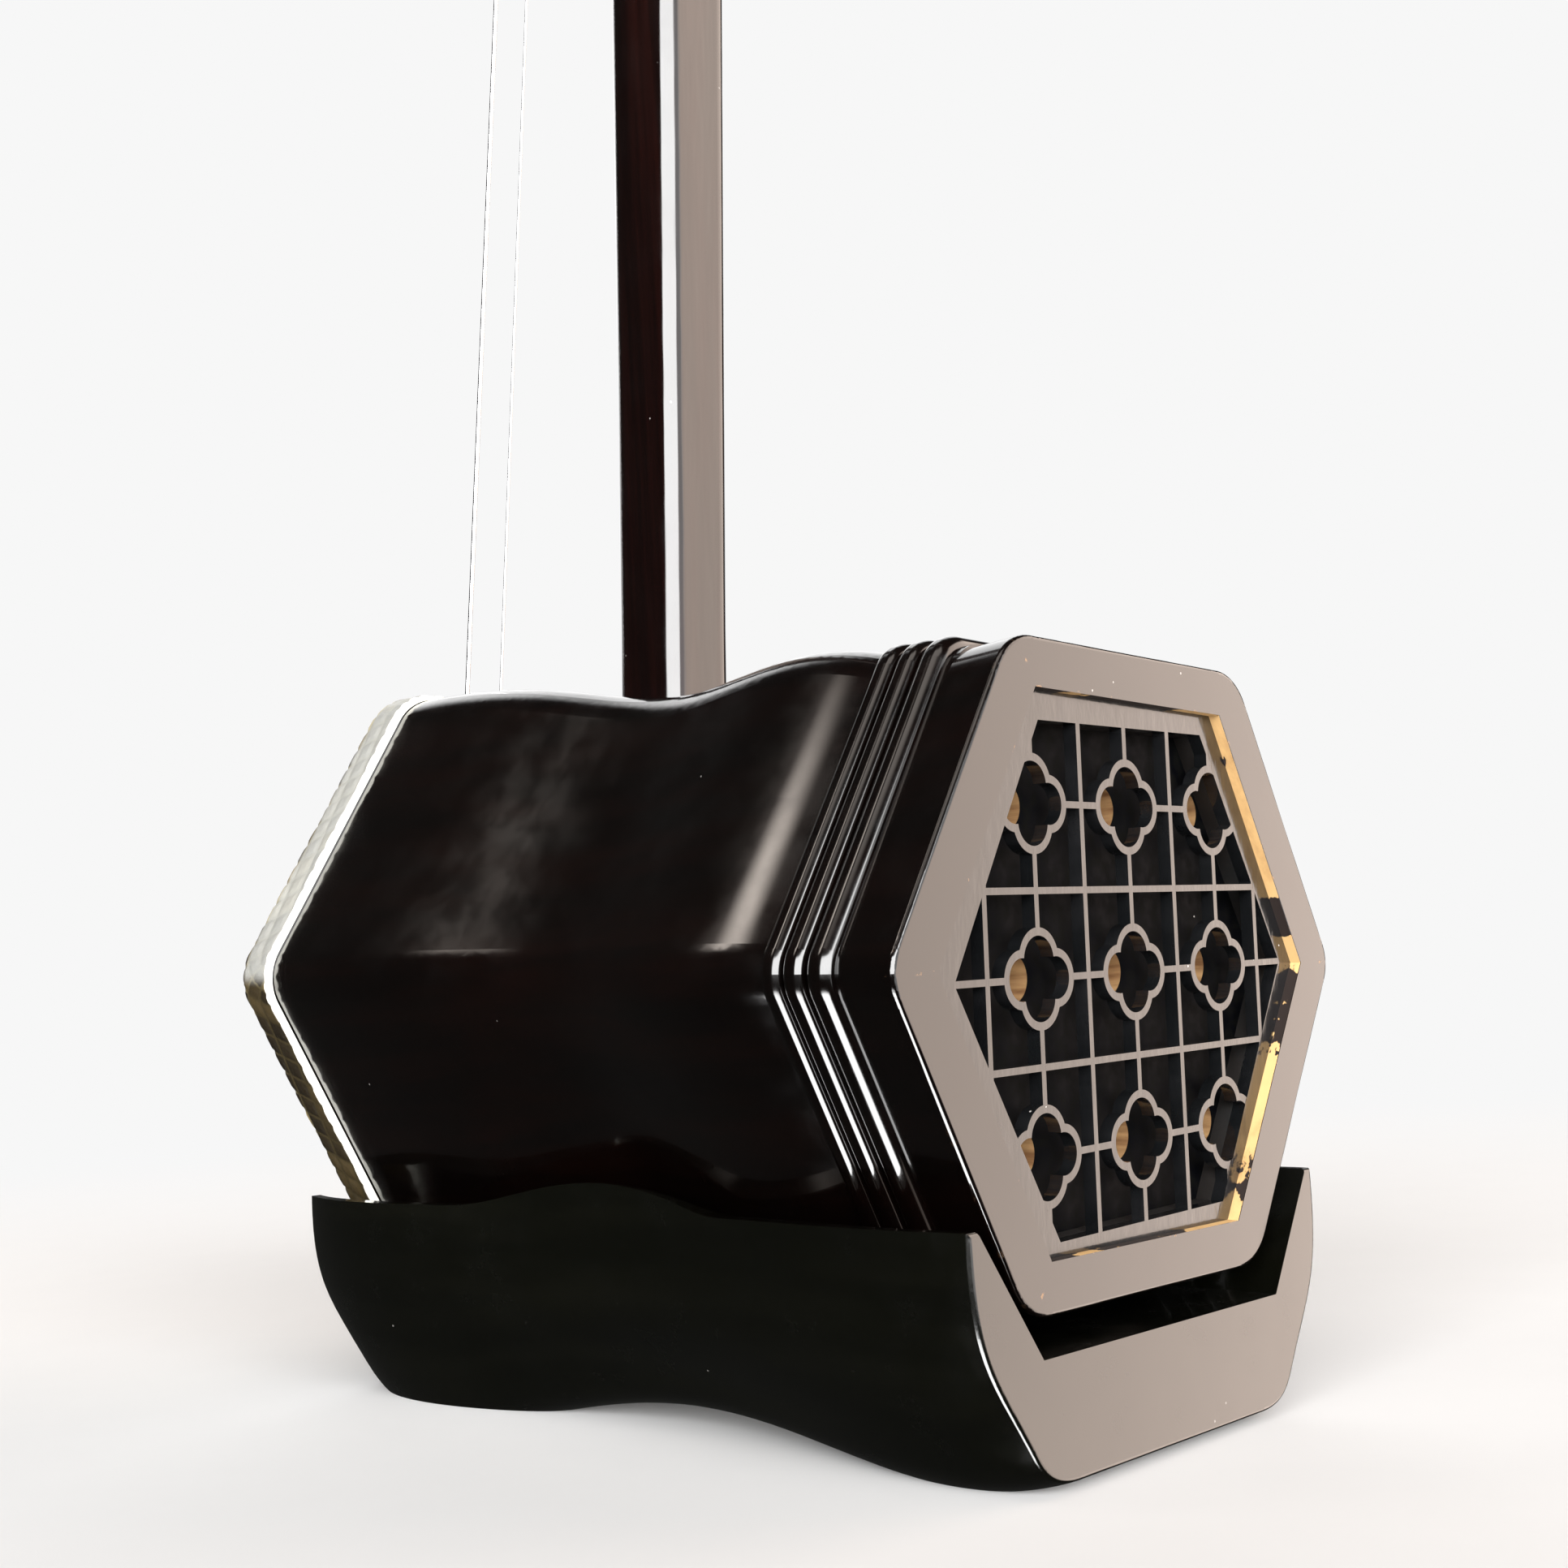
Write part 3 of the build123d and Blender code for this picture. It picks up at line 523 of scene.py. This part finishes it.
def strand(route, radius, hint, sides=8):
    """Round strand with domed ends along a route of points in millimetres: points and faces."""
    points, faces = [], []
    last = len(route) - 1
    for step, spot in enumerate(route):
        along = (route[min(step + 1, last)] - route[max(step - 1, 0)]).normalized()
        out = along.cross(hint).normalized()
        over = out.cross(along)
        for side in range(sides):
            turn = math.tau * side / sides
            points.append(spot + radius * (math.cos(turn) * out + math.sin(turn) * over))
    for step in range(last):
        for side in range(sides):
            low, high = step * sides, (step + 1) * sides
            after = (side + 1) % sides
            faces.append((low + side, low + after, high + after, high + side))
    dome = radius * 0.8
    for ring, end, beside, flip in ((0, 0, 1, 1), (last * sides, last, last - 1, -1)):
        points.append(route[end] + (route[end] - route[beside]).normalized() * dome)
        for side in range(sides):
            corner = (ring + side, ring + (side + 1) % sides)[::flip]
            faces.append((*corner[::-1], len(points) - 1))
    return [leaned(*point) for point in points], faces


def rounded_loop(corners, radii, steps=6):
    """Closed flat outline through corners, each cut by a smooth bend."""
    path = []
    for index, (corner, radius) in enumerate(zip(corners, radii)):
        before, after = corners[index - 1], corners[(index + 1) % len(corners)]
        start = corner + (before - corner).normalized() * radius
        stop = corner + (after - corner).normalized() * radius
        for step in range(steps + 1):
            t = step / steps
            path.append(start * (1 - t) ** 2 + corner * 2 * t * (1 - t) + stop * t ** 2)
    return path


# string turns on the pegs
COIL_STEPS = 24                 # points in one turn
for which, gauge in (("upper", 0.40), ("lower", 0.25)):
    low, high = upright_box(f"string_winding_{which}")
    centre = Vector(((low[0] + high[0]) / 2, 0, (low[2] + high[2]) / 2))
    coil = (high[0] - low[0]) / 2 - gauge
    first, final = low[1] + gauge, high[1] - gauge
    turns = int((final - first) / (2 * gauge))
    route = []
    for step in range(turns * COIL_STEPS + 1):
        turn = math.tau * step / COIL_STEPS
        loose = coil * (1 + 0.012 * math.sin(0.37 * turn))
        climb = first + (final - first) * step / (turns * COIL_STEPS)
        route.append(centre + Vector((loose * math.cos(turn), climb, loose * math.sin(turn))))
    piece(f"wound_string_{which}", *strand(route, gauge, Vector((0, 1, 0))), f"{which}_peg",
          f"string_winding_{which}", "string_steel", steel)

# thread turns of the nut loop
THREAD = 0.43                   # radius of the thread, millimetres
LOOP_TURNS = 8
INSET = 0.5                     # the thread's centre line inside the CAD loop's outline
FRONT_HALF = 5.25               # half the width of the loop where it crosses the strings
WAIST_Y = -0.8                  # where the loop widens to go round the neck
low, high = upright_box("nut_loop")
left, right = low[0] + INSET, high[0] - INSET
front, rear = low[1] + INSET, high[1] - INSET
corners = [(-FRONT_HALF, front), (FRONT_HALF, front), (right, WAIST_Y),
           (right, rear), (left, rear), (left, WAIST_Y)]
outline = rounded_loop([Vector((*corner, 0)) for corner in corners], (1.6, 1.6, 0.8, 3.6, 3.6, 0.8))
route = []
for turn in range(LOOP_TURNS):
    for step, spot in enumerate(outline):
        climb = (turn + step / len(outline)) / LOOP_TURNS
        rise = low[2] + THREAD + climb * (high[2] - low[2] - 2 * THREAD)
        route.append(Vector((spot.x, spot.y, rise + 0.05 * math.sin(2.1 * turn + 0.5 * step))))
piece("wound_thread_loop", *strand(route, THREAD, Vector((0, 0, 1))), "nut", "nut_loop", "thread",
      thread)


# felt pads: the CAD solids' shapes with softened edges and fibres standing off
fuzz = bpy.data.textures.new("fuzz", "CLOUDS")
fuzz.noise_scale = 0.0016
for name, cell in (("damper_pad", 0.0005), ("cradle_felt", 0.0008)):
    pad = bpy.data.objects.new(f"soft_{name}", parts[name].data.copy())
    bpy.context.scene.collection.objects.link(pad)
    grown = pad.modifiers.new("cells", "REMESH")
    grown.mode = "VOXEL"
    grown.voxel_size = cell
    worn = pad.modifiers.new("rounding", "SMOOTH")
    worn.iterations = 8
    fibres = pad.modifiers.new("fibres", "DISPLACE")
    fibres.texture = fuzz
    fibres.strength = 0.0004
    fibres.mid_level = 0.85
    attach(pad, "instrument")
    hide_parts(name)


# ---------------------------------------------------------------- python skin with its scales
def hexagon_loop(radius, corner, spacing):
    """Evenly spaced outline of the flattened round-cornered hexagon, and its outward ways."""
    top, side = TOP_FLAT * radius, SIDE_FLAT * radius
    tip = side / math.cos(math.radians(30))
    upper = (side - 0.5 * top) / math.cos(math.radians(30))
    corners = [Vector(corner) for corner in ((tip, 0), (upper, top), (-upper, top),
                                             (-tip, 0), (-upper, -top), (upper, -top))]
    path, out = [], []
    for index, spot in enumerate(corners):
        into = (spot - corners[index - 1]).normalized()
        away = (corners[(index + 1) % 6] - spot).normalized()
        bend = into.angle(away)
        cut = corner * math.tan(bend / 2)
        start = spot - into * cut
        first = Vector((into.y, -into.x))
        centre = start - first * corner
        steps = max(3, round(corner * bend / spacing))
        for step in range(steps + 1):
            turn = bend * step / steps
            way = Vector((first.x * math.cos(turn) - first.y * math.sin(turn),
                          first.x * math.sin(turn) + first.y * math.cos(turn)))
            path.append(centre + way * corner)
            out.append(way)
        gap = (corners[(index + 1) % 6] - spot).length - 2 * cut
        steps = round(gap / spacing)
        last, way = path[-1], out[-1]
        for step in range(1, steps):
            path.append(last + away * gap * step / steps)
            out.append(way)
    return path, out


# millimetres, apart from the counts, SHOULDER and SLANT
SCALE = 4.4                     # spacing of the scale rows
GROOVE = 0.24                   # depth of the grooves between scales
SHOULDER = 0.24                 # share of a scale's width over which its edge slopes
EDGE = 2.2                      # rounding of the skin over the box's edge
BAND_END = -34.4                # the skin's cut edge
RADIUS, CORNER = 54.5, 8.8      # size of the skin's hexagon and of its round corners
SPACING = 0.55                  # between points along the outline
FACE_RINGS, EDGE_RINGS, BAND_RINGS = 70, 6, 12
LIP, THICK, DEPTH = 0.75, 0.98, 0.85    # skin's thickness at its cut edge, its band and its face
SLANT = 0.8                     # slope of the two ways the rows of scales run
CELLS = 40                      # keeps the counted scales above zero
low, high = upright_box("python_skin")
face_y = low[1]
path, out = hexagon_loop(RADIUS - EDGE / 0.87, CORNER - EDGE, SPACING)
# each ring: share of the outline, way run past its edge, Y, and the surface's outward direction
rings = [(step / FACE_RINGS, 0.0, face_y, (0, -1)) for step in range(1, FACE_RINGS + 1)]
for step in range(1, EDGE_RINGS + 1):
    turn = math.pi / 2 * step / EDGE_RINGS
    rings.append((1.0, EDGE * turn, face_y + EDGE * (1 - math.cos(turn)),
                  (math.sin(turn), -math.cos(turn))))
bend = rings[-1][1]
band = BAND_END - (face_y + EDGE)
for step in range(1, BAND_RINGS + 1):
    down = band * step / BAND_RINGS
    rings.append((1.0, bend + down, face_y + EDGE + down, (1, 0)))


def scale_height(a, b):
    """0 in the grooves to 1 on a scale, from coordinates counted in scales."""
    gap = min(a % 1, 1 - a % 1, b % 1, 1 - b % 1)
    rise = min(1.0, gap / SHOULDER)
    return rise * rise * (3 - 2 * rise)


points, sheet = [], []
for share, run, y, (aside, ahead) in rings:
    for spot, way in zip(path, out):
        flat = spot * share + way * run
        stand = way * (EDGE * math.sin(min(run / EDGE, math.pi / 2)))
        a, b = (flat.x + SLANT * flat.y) / SCALE, (flat.x - SLANT * flat.y) / SCALE
        sink = GROOVE * (1 - scale_height(a, b))
        where = spot * share + stand - way * aside * sink
        points.append((where.x, y - ahead * sink, AXIS_Z + where.y))
        sheet.append((a + CELLS, b + CELLS))
around = len(path)
inner_y = face_y + DEPTH
for y, gone in ((BAND_END, LIP), (BAND_END, THICK), (inner_y, THICK)):
    for spot, way in zip(path, out):
        where = spot + way * (EDGE - gone)
        points.append((where.x, y, AXIS_Z + where.y))
        sheet.append(sheet[len(points) - 1 - around])
faces = []
for ring in range(len(rings) + 2):
    for index in range(around):
        after = (index + 1) % around
        faces.append((ring * around + index, ring * around + after,
                      (ring + 1) * around + after, (ring + 1) * around + index))
for y, ring, flip in ((face_y, 0, -1), (inner_y, len(rings) + 2, 1)):
    points.append((0, y, AXIS_Z))
    sheet.append((CELLS, CELLS))
    for index in range(around):
        faces.append((ring * around + index, ring * around + (index + 1) % around,
                      len(points) - 1)[::flip])
skin = piece("scaled_skin", [leaned(*point) for point in points], faces, "instrument",
             "python_skin", "skin", skin_look)
unrolled = skin.data.uv_layers.new(name="unrolled")
for loop in skin.data.loops:
    unrolled.data[loop.index].uv = sheet[loop.vertex_index]

# ---------------------------------------------------------------- floor
floor_look, floor_tree, floor_shader = new_material("floor", Roughness=0.9)
grain = noise(floor_tree, place(floor_tree), 60.0)
floor_tree.links.new(mixed(floor_tree, grain, (0.80, 0.80, 0.80), (0.78, 0.78, 0.78)),
                     floor_shader.inputs["Base Color"])
spread = node(floor_tree, "ShaderNodeVectorMath", {0: place(floor_tree)},
              operation="LENGTH").outputs["Value"]
glow = node(floor_tree, "ShaderNodeEmission", {"Color": (0.93, 0.93, 0.93, 1), "Strength": 1.0})
swept = node(floor_tree, "ShaderNodeMixShader", {0: level(floor_tree, spread, 0.15, 0.75),
                                                 1: floor_shader.outputs[0], 2: glow.outputs[0]})
floor_tree.links.new(swept.outputs[0], floor_tree.nodes["Material Output"].inputs["Surface"])
floor_mesh.materials.append(floor_look)

low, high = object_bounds()
